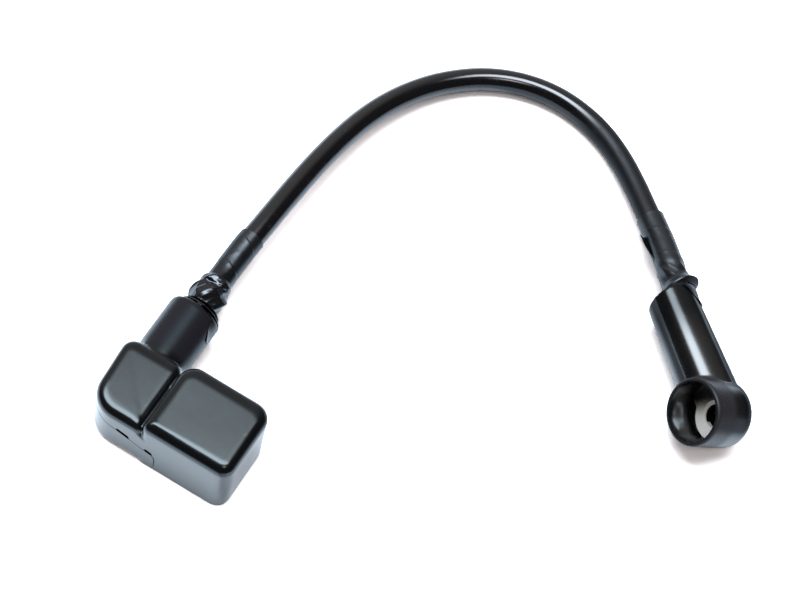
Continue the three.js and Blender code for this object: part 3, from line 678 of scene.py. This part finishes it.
class Route:
    """The cable's centreline, measured along its length."""

    def __init__(self):
        points = route_points()
        line = []
        for start, end, (leaving, arriving) in zip(points, points[1:], route_handles(points)):
            for k in range(24):
                t = k / 24
                line.append(start * (2 * t**3 - 3 * t**2 + 1) + leaving * (t**3 - 2 * t**2 + t)
                            + end * (3 * t**2 - 2 * t**3) + arriving * (t**3 - t**2))
        line.append(points[-1])
        self.line = np.array(line)
        steps = np.linalg.norm(np.diff(self.line, axis=0), axis=1)
        self.run = np.concatenate([[0], np.cumsum(steps)])
        self.length = float(self.run[-1])

    def at(self, distance):
        return Vector([float(np.interp(distance, self.run, self.line[:, k])) for k in range(3)])

    def heading(self, distance):
        return (self.at(distance + 0.4 * MM) - self.at(distance - 0.4 * MM)).normalized()

    def crossing(self, point, normal, low, high, gap=0.3 * MM):
        """The distance at which the route is gap beyond a plane."""
        def beyond(d):
            return (self.at(d) - point).dot(normal) - gap
        rising = beyond(high) > beyond(low)
        for _ in range(40):
            middle = (low + high) / 2
            if (beyond(middle) > 0) == rising:
                high = middle
            else:
                low = middle
        return (low + high) / 2


ROUTE = Route()


# Stage


class BATTERYCABLE_OT_stage(bpy.types.Operator):
    """Adds the camera, the pale floor and the studio with its two soft ceiling panels"""

    bl_idname = "battery_cable.stage"
    bl_label = "Stage"

    def execute(self, context):
        scene = context.scene
        deselect()
        turn = [math.radians(angle) for angle in (29.007, -9.164, 29.825)]
        bpy.ops.object.camera_add(location=(0.09387, -0.52596, 0.95088), rotation=turn)
        camera = bpy.context.object
        camera.data.lens = 112.5
        camera.data.sensor_width = 36
        camera.data.clip_start = 0.05
        scene.camera = camera
        deselect()
        bpy.ops.mesh.primitive_plane_add(size=8, location=(0, 0, -0.05 * MM))
        floor = settle(named("floor"))
        floor.data.materials.append(self.floor_material())
        self.studio(scene)
        scene.view_settings.view_transform = "Standard"
        return {"FINISHED"}

    def floor_material(self):
        """Pale table that the camera sees as white. In reflections it is painted brighter and
        bluish near the object, and painted darker as shade far off, to the north, east of the
        cover and by the boot."""
        material, shader, place = shader_of("pale_table")
        along, across = from_boot(shader, place, ALONG, ACROSS)
        # Painted shade on the table beside the boot, seen only in reflections.
        boot_shade = (shader.span(along, -0.09, -0.06) * shader.span(across, -0.15, -0.11)
               * shader.span(across.size(), 0.012, 0.042))
        far = shader.span(shader.distance(place), 0.17, 0.5)
        north = shader.span(shader.part(place, COVER_LOW, (0, 1, 0)), 72 * MM, 110 * MM)
        east = shader.part(place, COVER_HIGH, (1, 0, 0))
        east = shader.span(east, -3 * MM, 5 * MM) * shader.span(east, 60 * MM, 40 * MM)
        seen = shader.rays("Camera", "Transmission")
        tone = shader.blend(seen, (0.8, 0.8, 0.8, 1), (1.9, 1.85, 1.84, 1))
        # Painted light and shade for reflections: brighter and bluish near the object, painted
        # shade far off, to the north, east of the cover and beside the boot.
        near_light_tone, north_shade_tone = (1.2, 1.32, 1.42, 1), (0.74, 0.82, 0.9, 1)
        far_shade_tone, boot_shade_tone = (0.25, 0.28, 0.31, 1), (0.2, 0.22, 0.25, 1)
        painted_reflection = shader.blend(north, near_light_tone, north_shade_tone)
        painted_reflection = shader.blend(far.largest(0.55 * east), painted_reflection, far_shade_tone)
        painted_reflection = shader.blend(boot_shade, painted_reflection, boot_shade_tone)
        tone = shader.blend(shader.rays("Glossy"), tone, painted_reflection)
        table = shader.node("ShaderNodeBsdfDiffuse", None, {"Color": tone})
        shader.node("ShaderNodeOutputMaterial", None, {"Surface": table.outputs[0]})
        return material

    def panel(self, shader, x, y, centre, turn, half, soft):
        """Share of light from an oval panel, laid out where the ceiling is one unit up."""
        x, y = x - centre[0], y - centre[1]
        cos, sin = math.cos(turn), math.sin(turn)
        along = (x * cos + y * sin) / half[0]
        aside = (y * cos - x * sin) / half[1]
        return shader.span((along * along + aside * aside).root(), 1 + soft, 1 - soft)

    def studio(self, scene):
        """White behind everything, and a dim room with two soft panels on its ceiling."""
        world = bpy.data.worlds.new("studio")
        scene.world = world
        world.use_nodes = True
        shader = Shader(world.node_tree)
        facing = shader.node("ShaderNodeTexCoord").outputs["Generated"]
        parts = shader.node("ShaderNodeSeparateXYZ", None, {"Vector": facing}).outputs
        x, y, height = (Value(shader, part) for part in parts)
        x, y = x / height.largest(0.05), y / height.largest(0.05)
        key = self.panel(shader, x, y, centre=(-0.25, 0.085), turn=math.radians(15),
                         half=(0.57, 0.255), soft=0.26)
        spot = self.panel(shader, x, y, centre=(0.3, -0.3), turn=math.radians(21),
                          half=(0.14, 0.12), soft=0.6)
        toward = shader.part(facing, (0, 0, 0), (-0.58, 0.69, 0.42))
        wall = shader.span(toward, 0.45, 1.0, 0.0, 0.42)
        level = 0.05 + wall + 0.24 * shader.rays("Diffuse") + 10.5 * key + 5.0 * spot
        tint = shader.blend(key, (1.0, 0.93, 0.92, 1), (0.9, 0.985, 1.07, 1))
        room = shader.node("ShaderNodeBackground", None, {"Color": tint, "Strength": level})
        white = shader.node("ShaderNodeBackground", None,
                            {"Color": (1, 1, 1, 1), "Strength": 1.0})
        seen = shader.rays("Camera", "Transmission")
        mixed = shader.node("ShaderNodeMixShader", None,
                            {0: seen, 1: room.outputs[0], 2: white.outputs[0]})
        shader.node("ShaderNodeOutputWorld", None, {"Surface": mixed.outputs[0]})


# Cable


class BATTERYCABLE_OT_cable(bpy.types.Operator):
    """Adds the cable on its route between the two end covers"""

    bl_idname = "battery_cable.cable"
    bl_label = "Cable"

    def execute(self, context):
        sizes = sizes_of("cable")
        rings = [ROUTE.at(ROUTE.length * k / 260) for k in range(261)]
        cable = tube("cable", rings, sizes.diameter / 2, 40)
        finish_piece(cable, ["cable_jacket"], cable_plastic())
        return {"FINISHED"}


# Terminal cover


class BATTERYCABLE_OT_cover(bpy.types.Operator):
    """Adds the moulded terminal cover and its lower shell"""

    bl_idname = "battery_cable.cover"
    bl_label = "Terminal Cover"

    def tall_box(self, inset, floor):
        sizes = sizes_of("cover")
        left = -sizes.tall_width / 2 + inset
        front, back = -sizes.tall_front + inset, sizes.tall_back - inset
        top = sizes.tall_height - inset
        box = block("tall_box", (left, front, floor), (-left, back, top))
        for x, corner in ((left, 3.2 * MM), (-left, 6 * MM)):
            round_upright(box, x, front, corner - inset)
            round_upright(box, x, back, 8 * MM - inset)
        return self.round_top(box, top, back, 4.8 * MM)

    def elbow_box(self, inset, right, floor):
        sizes = sizes_of("cover")
        left = -sizes.tall_width / 2 - 28.2 * MM + inset
        front, back = -FRONT * MM + inset, 18.4 * MM - inset
        top = sizes.elbow_height - inset
        box = block("elbow_box", (left, front, floor), (right, back, top))
        lean = 2.2 * MM
        reshape(box, lambda p: p + np.outer((p[:, 0] < left + 1e-6) & (p[:, 1] < 0),
                                            (lean, 0, 0)))
        round_upright(box, left, back, 6.5 * MM - inset)
        round_upright(box, left + lean, front, 12 * MM - inset, 12)
        if not inset:
            round_upright(box, right, back, 4.6 * MM)
            round_upright(box, right, front, 2 * MM)
            round_rim(box, floor, 3 * MM, 5)
        return self.round_top(box, top, back, 4.2 * MM)

    def round_top(self, box, top, back, rim):
        """Rounds the top rim, wider along the back wall, and slopes the top a little forward."""
        def draw_in(points):
            rise = np.clip((points[:, 2] - (top - rim)) / rim, 0, 1)
            bend = 1 - np.sqrt(np.maximum(1 - rise**2, 0))
            near = np.clip(points[:, 1] / (back - rim), 0, 1)
            points[:, 1] -= 1.8 * MM * bend * near
            fall = np.clip((back - points[:, 1]) / (36 * MM), 0, 1) ** 2
            points[:, 2] -= 0.75 * MM * fall * np.clip(points[:, 2] / top, 0, 1) ** 4
            return points
        round_rim(box, top, rim)
        return reshape(box, draw_in)

    def part_groove(self, box, right):
        """Runs the elbow into the tall box low down and parts the two above."""
        for height in (17.5, 18.8, 20, 21.2, 22.4, 23.3):
            slice_at(box, (0, 0, height * MM), (0, 0, 1))

        def lead_in(points):
            share = np.clip((points[:, 2] - 17.5 * MM) / (5.8 * MM), 0, 1)
            share = share * share * (3 - 2 * share)
            near = points[:, 0] > right - 6 * MM
            points[:, 0] += 8.2 * MM * (1 - share) * near
            return points
        reshape(box, lead_in)

    def shell_region(self, grow, slots):
        """The space of the lower shell below its sloping seam, with the catch slots if asked."""
        near, far = -12.9, -55.3

        def seam(x):
            return 10.6 + (near - x) * 0.24 + grow

        right = near + grow
        outline = [(far, -2), (right, -2), (right, seam(right) - 2),
                   (right - 0.5, seam(right) - 0.8), (right - 1.6, seam(right - 1.6))]
        if slots:
            for a, b in ((-13.9, -18), (-25.4, -32)):
                outline += [(a, seam(a)), (a - 0.5, seam(a - 0.5) + 1.8),
                            (b + 0.5, seam(b + 0.5) + 1.8), (b, seam(b))]
        outline.append((far, seam(far)))
        region = from_points("shell_region", [(x * MM, -24 * MM, z * MM) for x, z in outline],
                             faces=[range(len(outline))])
        edit(region, faces=True)
        bpy.ops.mesh.extrude_region_move(
            TRANSFORM_OT_translate={"value": (0, (36.4 + grow) * MM, 0)})
        close_up()
        return region

    def execute(self, context):
        sizes = sizes_of("cover")

        # One outside skin from the two boxes, the sleeve and a web at the groove's front
        tall = self.tall_box(0, -4 * MM)
        right = -sizes.tall_width / 2 - 0.2 * MM
        elbow = self.elbow_box(0, right, 0.15 * MM)
        self.part_groove(elbow, right)
        sleeve_place = Matrix.Translation((SLEEVE_X * MM, 0, SLEEVE_HEIGHT * MM))
        sleeve = spun("sleeve", [
            (0, 10), (SLEEVE_RADIUS, 10), (SLEEVE_RADIUS, 46.3), (11.8, 47.3), (11.24, 48.14),
            (10.4, 48.7), (9.4, SLEEVE_END), (0, SLEEVE_END)], 96, "Y")
        reshape(sleeve, lambda p: p - np.outer(
            np.clip(p[:, 1] / MM - 30, 0, 19) / 19 * (SLEEVE_RADIUS * MM + p[:, 0]) * MOUTH_SLANT,
            (0, 1, 0)))
        sleeve.data.transform(sleeve_place)
        deselect()
        bpy.ops.mesh.primitive_uv_sphere_add(segments=48, ring_count=24, radius=1,
                                             location=(-20.5 * MM, -14.9 * MM, 15 * MM),
                                             scale=(5 * MM, 2.6 * MM, 8.5 * MM))
        bridge = settle(named("bridge"))
        cover = join([tall, elbow, sleeve, bridge], "terminal_cover_skin")
        moulded(cover, sizes.grain, 7)
        cut(cover, block("below", (-0.1, -0.1, -0.05), (0.1, 0.1, 0)))

        # One inside, hollowed out of the skin
        inner = self.tall_box(sizes.wall, -3 * MM)
        cut(inner, self.elbow_box(sizes.wall, -sizes.tall_width / 2 + 6 * MM, sizes.wall), "UNION")
        bore = spun("bore", [(0, 10), (7.8, 10), (7.8, 19.4), (6.55, 21.4), (6.55, 25.4),
                             (8.2, 27.4), (8.2, 52), (0, 52)], 64, "Y")
        bore.data.transform(sleeve_place)
        cut(inner, bore, "UNION")
        cut(cover, inner)

        # The lower shell and the rest, parted along the seam
        shell = copy_of(cover, "cover_shell_skin")
        cut(shell, self.shell_region(0, False), "INTERSECT")
        cut(cover, self.shell_region(sizes.seam / MM, True))
        material = cover_plastic()
        for piece, node in ((cover, "terminal_cover"), (shell, "cover_lower_shell")):
            piece.data.transform(Matrix.Translation(COVER_PLACE))
            smooth(piece, 40)
            finish_piece(piece, [node], material)
        return {"FINISHED"}


# Ring terminal boot


class BATTERYCABLE_OT_boot(bpy.types.Operator):
    """Adds the ring terminal boot with its round collar"""

    bl_idname = "battery_cable.boot"
    bl_label = "Ring Boot"

    def sleeve_radius(self, x):
        return BOOT_END_RADIUS + (x + BOOT_END) / BOOT_END * 1.8

    def outside(self):
        sizes = sizes_of("boot")
        radius, mouth = sizes.collar_radius / MM, sizes.collar_mouth / MM
        profile = [(0, -11.8)]
        for k in range(1, 13):
            turn = k * math.pi / 24
            profile.append((radius * math.sin(turn), -2.2 - 9.6 * math.cos(turn)))
        profile += [(radius, mouth - 1.4), (radius - 0.35, mouth - 0.4), (radius - 1.3, mouth),
                    (0, mouth)]
        collar = spun("collar", profile, 128)
        length = sizes.sleeve_length / MM
        ends = (-length - 6, 2)
        deselect()
        bpy.ops.mesh.primitive_cone_add(
            vertices=128, radius1=self.sleeve_radius(ends[0]) * MM,
            radius2=self.sleeve_radius(ends[1]) * MM, depth=(ends[1] - ends[0]) * MM,
            location=(sum(ends) / 2 * MM, 0, 0), rotation=(0, math.pi / 2, 0))
        sleeve = settle(named("boot_sleeve"))
        slice_at(sleeve, (-length * MM, 0, 0), (-1, -BOOT_SLANT, 0), drop_outer=True)
        return join([collar, sleeve], "ring_boot_skin")

    def inside(self):
        pocket = spun("pocket", [(0, -9.9), (3.4, -9.3), (6.4, -7.6), (8.3, -5), (8.8, -2.2),
                                 (8.8, 0.1), (13.1, 0.1), (13.3, 19), (0, 19)])
        bore = spun("boot_bore", [(0, -68), (9.2, -68), (9.9, -36), (6.5, -33), (6.5, -28),
                                  (10.2, -25), (10.2, -20), (8, -17), (0, -17)], 96, "X")
        cut(pocket, bore, "UNION")
        slot = block("neck_slot", (-18 * MM, -8.1 * MM, -6.7 * MM), (-7 * MM, 8.1 * MM, 6.7 * MM))
        slice_at(slot, (-11.5 * MM, 0, 0), (1, 0, 0))
        low, high = 0.05 * MM, 3.5 * MM
        reshape(slot, lambda p: np.where((p[:, :1] > -12 * MM) & (np.arange(3) == 2),
                                         np.where(p > 0, high, low), p))
        return cut(pocket, slot, "UNION")

    def execute(self, context):
        boot = self.outside()
        moulded(boot, sizes_of("boot").grain, 6)
        cut(boot, self.inside())
        boot.data.transform(BOOT_FRAME)
        smooth(boot, 40)
        finish_piece(boot, ["ring_boot"], boot_plastic())
        return {"FINISHED"}


# Tape


def swell(mm, middle, half, sharpness=2):
    """A bump of height one round a place along the tape."""
    return math.exp(-(abs((mm - middle) / half) ** sharpness))


class BATTERYCABLE_OT_tape(bpy.types.Operator):
    """Adds the two tape wraps, gathered near the sleeves, with their loose ends"""

    bl_idname = "battery_cable.tape"
    bl_label = "Tape"

    def frame_at(self, distance, normal, away):
        """Centre and two directions of a ring, which leans to the mouth's plane near it."""
        forward = ROUTE.heading(distance)
        sense = 1 if forward.dot(normal) > 0 else -1
        forward = (forward * sense).lerp(normal, swell(away / MM, 0, 6)) * sense
        forward.normalize()
        side = forward.cross(Vector((0, 0, 1))).normalized()
        return ROUTE.at(distance), side, side.cross(forward)

    def folds(self, mm, angle, seed):
        """Height of the twisted folds between minus one and one."""
        height = 0
        for count, twist, shift, weight in ((5, 0.5, 0.3, 0.5), (3, -0.3, 1.9, 0.26),
                                            (8, 0.95, 0.7, 0.2), (12, 0.6, 2.6, 0.1)):
            wander = 0.7 * math.sin(0.37 * mm + seed + shift) + 0.4 * math.sin(2 * angle + shift)
            phase = count * angle + twist * mm + shift + seed + wander
            height += weight * (1 - 2 * abs(math.sin(phase / 2)) ** 0.75)
        return height * (0.8 + 0.3 * math.sin(angle + seed))

    def sheet(self, name, columns, rows, lay, thickness, welded=False):
        """A thin sheet laid out by a function of two shares, closed to a tube if welded."""
        deselect()
        bpy.ops.mesh.primitive_grid_add(x_subdivisions=columns, y_subdivisions=rows, size=2)
        grid = settle(named(name))
        reshape(grid, lambda points: np.array([lay((u + 1) / 2, (v + 1) / 2)
                                               for u, v, _ in points]))
        if welded:
            edit(grid)
            close_up()
        modify(grid, "SOLIDIFY", thickness=thickness, offset=-1 if welded else 0)
        return smooth(grid, 60)

    def wrap(self, name, start, length, sense, normal, girth, depth, seed):
        """A winding from a mouth along the cable, its rings closest together near the mouth."""
        sizes = sizes_of("cable")
        base = sizes.diameter / 2 + 0.3 * MM + sizes.tape_build

        def lay(u, v):
            angle = 2 * math.pi * u
            away = length * v**1.3
            mm = away / MM
            centre, side, up = self.frame_at(start + sense * away, normal, away)
            radius = base + girth(mm, angle) * MM
            radius += sizes.crumple * depth(mm) * self.folds(mm, angle, seed)
            turn = mm / 14 - sense * u + 0.35
            radius += 0.12 * MM * (turn - math.floor(turn)) ** 4
            radius = max(radius, sizes.diameter / 2 + 0.5 * MM)
            return centre + side * radius * math.cos(angle) + up * radius * math.sin(angle)
        return self.sheet(name, 144, 170, lay, 0.4 * MM, welded=True)

    def post_end(self, material):
        normal = Vector((MOUTH_SLANT, 1, 0)).normalized()
        mouth = COVER_PLACE + MM * Vector((SLEEVE_X, SLEEVE_END - SLEEVE_RADIUS * MOUTH_SLANT,
                                           SLEEVE_HEIGHT))
        start = ROUTE.crossing(mouth, normal, 2 * MM, 45 * MM)

        def girth(mm, angle):
            right = 0.5 + 0.5 * math.cos(angle - 0.4)
            lips = (2.2 + 3.8 * right) * swell(mm, 0, 1.1, 4)
            lips += (1.0 + 3.0 * right) * swell(mm, 2.1 + 0.6 * right, 0.55)
            ball = 1.9 * swell(mm, 9, 4.4, 3) + 1.1 * swell(mm, 16.2, 1.9, 4)
            return lips + ball - 0.45 * (1 - swell(mm, 5, 13.5, 10))

        def depth(mm):
            return (1.25 * swell(mm, 9, 5, 4) + 0.7 * swell(mm, 16, 2.4) + 0.2 * swell(mm, 0, 3)
                    + 0.05 * swell(mm, 24, 10) + 0.02)
        wrap = self.wrap("tape_post_end", start, 45 * MM, 1, normal, girth, depth, 0.4)

        def tail(u, v):
            angle = math.radians(8 + 46 * v * (1 - 0.75 * u**1.5))
            back = -1.6 + 12 * u
            radius = 12.28 - 2.4 * max(0, 1 - back / 2.6) ** 2 + 0.25 * math.sin(5 * u + 2 * v)
            return mouth + Vector((radius * math.cos(angle), -back, radius * math.sin(angle))) * MM
        tail = self.sheet("tape_tail", 30, 24, tail, 0.25 * MM)
        wrap = join([wrap, tail], "tape_post_end")
        finish_piece(wrap, ["tape_wrap_post_end"], material)

    def ring_end(self, material):
        normal = -(ALONG + BESIDE * BOOT_SLANT).normalized()
        mouth = BOOT_PLACE - ALONG * BOOT_END * MM
        start = ROUTE.crossing(mouth, normal, ROUTE.length - 45 * MM, ROUTE.length - 2 * MM)

        def girth(mm, angle):
            right = 0.5 - 0.5 * math.cos(angle + 0.4)
            cuff = (1.5 + 3.6 * right) * swell(mm, 0, 3.2 + 3.4 * right, 3)
            cuff -= (0.4 + 1.6 * right) * swell(mm, 0, 1.3)
            return cuff + 0.25 * swell(mm, 12, 5, 4)

        def depth(mm):
            return 0.55 * swell(mm, 9, 6, 4) + 0.3 * swell(mm, 0, 3) + 0.05
        wrap = self.wrap("tape_ring_end", start, 43 * MM, -1, normal, girth, depth, 2.1)

        def flag(u, v):
            away = (34.6 - 14 * u - 1.2 * math.sin(3 * v)) * MM
            centre, side, up = self.frame_at(start - away, normal, away)
            reach = 6.1 + (2.5 - 2.0 * u**2) * v
            rise = -1.2 + 2.6 * v + 0.5 * math.sin(4 * u + 2 * v)
            return centre + side * reach * MM + up * (rise * MM)
        flag = self.sheet("tape_flag", 24, 16, flag, 0.22 * MM)

        def tail(u, v):
            turn = math.radians(12 + 62 * v * (1 - 0.6 * u))
            x = -BOOT_END - 0.8 + 9 * u
            radius = 11.5 + 0.03 * (x + BOOT_END) + 0.2 * math.sin(6 * u + v)
            out = ACROSS * math.cos(turn) + Vector((0, 0, 1)) * math.sin(turn)
            return BOOT_PLACE + (ALONG * x + out * radius) * MM
        tail = self.sheet("tape_tail", 24, 24, tail, 0.25 * MM)
        wrap = join([wrap, flag, tail], "tape_ring_end")
        finish_piece(wrap, ["tape_wrap_ring_end"], material)

    def execute(self, context):
        material = tape_plastic()
        self.post_end(material)
        self.ring_end(material)
        return {"FINISHED"}


# Metal parts


class BATTERYCABLE_OT_metal(bpy.types.Operator):
    """Gives the clamp, its fasteners, the ring and the bare conductor their finish"""

    bl_idname = "battery_cable.metal"
    bl_label = "Metal Parts"

    def ring(self, material):
        """The ring terminal, its neck pressed flat further back and its edges broken."""
        ring = copy_of(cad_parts["ring_lug"], "ring_terminal")
        ring.data.transform(BOOT_FRAME.inverted() @ ring.matrix_world)
        ring.matrix_world = Matrix.Identity(4)
        modify(ring, "WELD", merge_threshold=WELD_GAP)

        def draw_back(points):
            x = points[:, 0] / MM
            share = np.clip((-8 - x) / 0.5, 0, 1) * np.clip((x + 17.2) / 0.7, 0, 1)
            points[:, 0] -= 3 * MM * share * np.clip((x + 17.6) / 2, 0.33, 1)
            return points
        reshape(ring, draw_back)
        modify(ring, "BEVEL", width=0.4 * MM, segments=3, limit_method="ANGLE", angle_limit=SHARP)
        ring.data.transform(BOOT_FRAME)
        smooth(ring, 40)
        finish_piece(ring, ["ring_lug"], material)

    def execute(self, context):
        tin = tin_plate()
        alloy = metal("cast_alloy", (0.5, 0.49, 0.45), 0.46, 420, 0.05 * MM, 0.2)
        steel = metal("plated_steel", (0.6, 0.6, 0.57), 0.32, 900, 0.01 * MM)
        copper = copper_strands()
        self.ring(tin)
        finishes = {"post_clamp": alloy, "clamp_bolt": steel, "clamp_washer": steel,
                    "clamp_nut": steel, "conductor_post_end": copper,
                    "conductor_ring_end": copper}
        for name, material in finishes.items():
            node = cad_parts[name]
            node.data.materials.clear()
            node.data.materials.append(material)
            add_modifier(node, "WELD", merge_threshold=WELD_GAP)
            add_modifier(node, "BEVEL", width=0.22 * MM, segments=2, limit_method="ANGLE",
                         angle_limit=SHARP)
        return {"FINISHED"}


# Panel and run


class BATTERYCABLE_PT_panel(bpy.types.Panel):
    """Lists the cable's pieces"""

    bl_label = "Battery Cable"
    bl_idname = "BATTERYCABLE_PT_panel"
    bl_space_type = "VIEW_3D"
    bl_region_type = "UI"
    bl_category = "Battery Cable"

    def draw(self, context):
        layout = self.layout
        for group in GROUPS:
            box = layout.box()
            owner = sizes_of(group)
            for name in owner.bl_rna.properties.keys():
                if name not in ("rna_type", "name"):
                    box.prop(owner, name)
        for operator in OPERATORS:
            layout.operator(operator.bl_idname)


GROUPS = {"cover": CoverSizes, "cable": CableSizes, "boot": BootSizes, "finish": Finishes}
OPERATORS = (BATTERYCABLE_OT_stage, BATTERYCABLE_OT_cable, BATTERYCABLE_OT_cover,
             BATTERYCABLE_OT_boot, BATTERYCABLE_OT_tape, BATTERYCABLE_OT_metal)


def register():
    for kind in (*GROUPS.values(), *OPERATORS, BATTERYCABLE_PT_panel):
        bpy.utils.register_class(kind)
    for name, group in GROUPS.items():
        setattr(bpy.types.Scene, "battery_cable_" + name, bpy.props.PointerProperty(type=group))


def unregister():
    for name in GROUPS:
        delattr(bpy.types.Scene, "battery_cable_" + name)
    for kind in reversed((*GROUPS.values(), *OPERATORS, BATTERYCABLE_PT_panel)):
        bpy.utils.unregister_class(kind)


def main():
    register()
    bpy.ops.battery_cable.stage()
    bpy.ops.battery_cable.cable()
    bpy.ops.battery_cable.cover()
    bpy.ops.battery_cable.boot()
    bpy.ops.battery_cable.tape()
    bpy.ops.battery_cable.metal()
    deselect()


if __name__ == "__main__":
    main()
